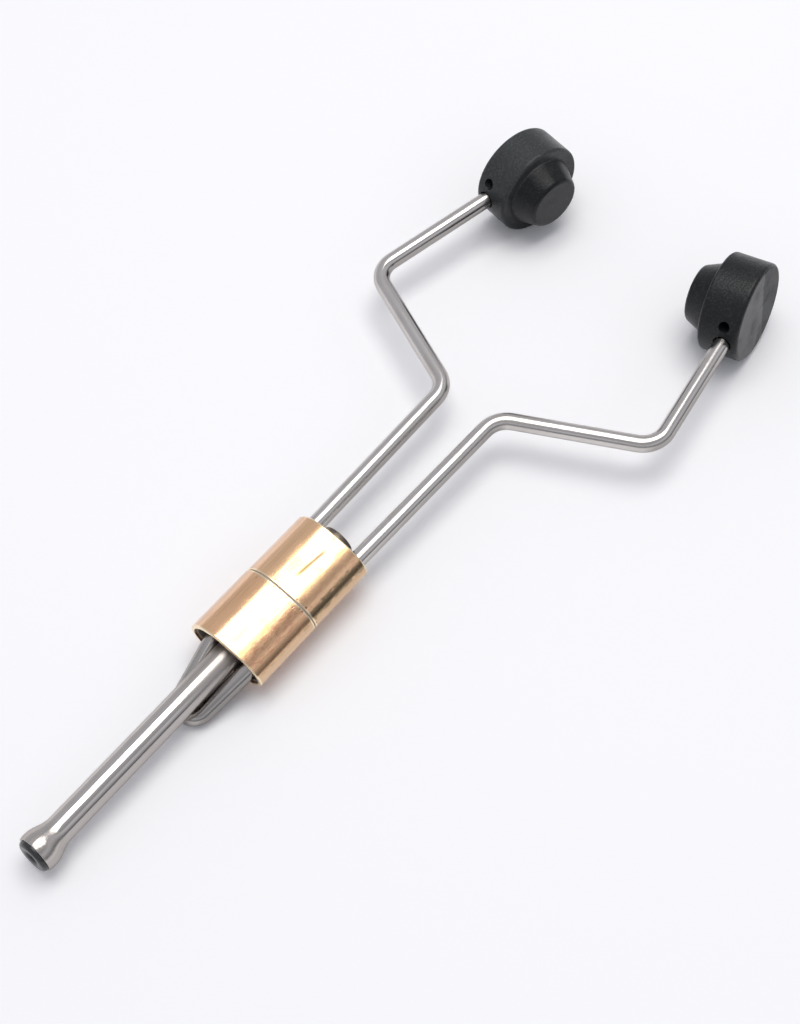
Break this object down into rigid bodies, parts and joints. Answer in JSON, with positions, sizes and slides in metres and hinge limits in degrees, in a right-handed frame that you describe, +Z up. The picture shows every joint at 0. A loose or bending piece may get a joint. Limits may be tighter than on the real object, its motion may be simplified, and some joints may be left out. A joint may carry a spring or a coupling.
{
  "type": "thread bobbin holder",
  "caption": "Bobbin holder for fly tying: steel thread tube in a brass-covered barrel between two sprung wire arms with round black feet that grip a spool.",
  "frame": {"origin": "on the thread tube's axis, at the front face of the barrel", "axes": "+X along the tube from its mouth toward the feet, +Y across to the left arm, +Z up, square to the plane of the wire arms"},
  "size_m": [0.1077, 0.0432, 0.0125],
  "materials": {
    "steel": "polished stainless steel",
    "steel_wire": "bright drawn stainless spring wire",
    "solder": "dull grey solder",
    "brass": "polished light brass with fine marks",
    "black_plastic": "moulded black plastic, matt rim and smoother outer face",
    "ceramic": "smooth dark grey ceramic"
  },
  "bodies": {
    "holder": {"nozzle_tube": "steel", "mouth_ring": "ceramic", "front_sleeve": "brass", "rear_sleeve": "brass", "liner": "steel", "solder_fill": "solder", "wire_loop": "steel_wire"},
    "left_arm": {"left_arm_wire": "steel_wire", "left_foot": "black_plastic"},
    "right_arm": {"right_arm_wire": "steel_wire", "right_foot": "black_plastic"}
  },
  "joints": [
    {"name": "left_arm_flex", "type": "hinge", "parent": "holder", "child": "left_arm", "pos_m": [0.0168, 0.00329, 0], "axis": [0, 0, 1], "range_deg": [-2, 7], "stiffness_Nm_per_rad": 7},
    {"name": "right_arm_flex", "type": "hinge", "parent": "holder", "child": "right_arm", "pos_m": [0.0168, -0.00329, 0], "axis": [0, 0, -1], "range_deg": [-2, 7], "stiffness_Nm_per_rad": 7}
  ]
}
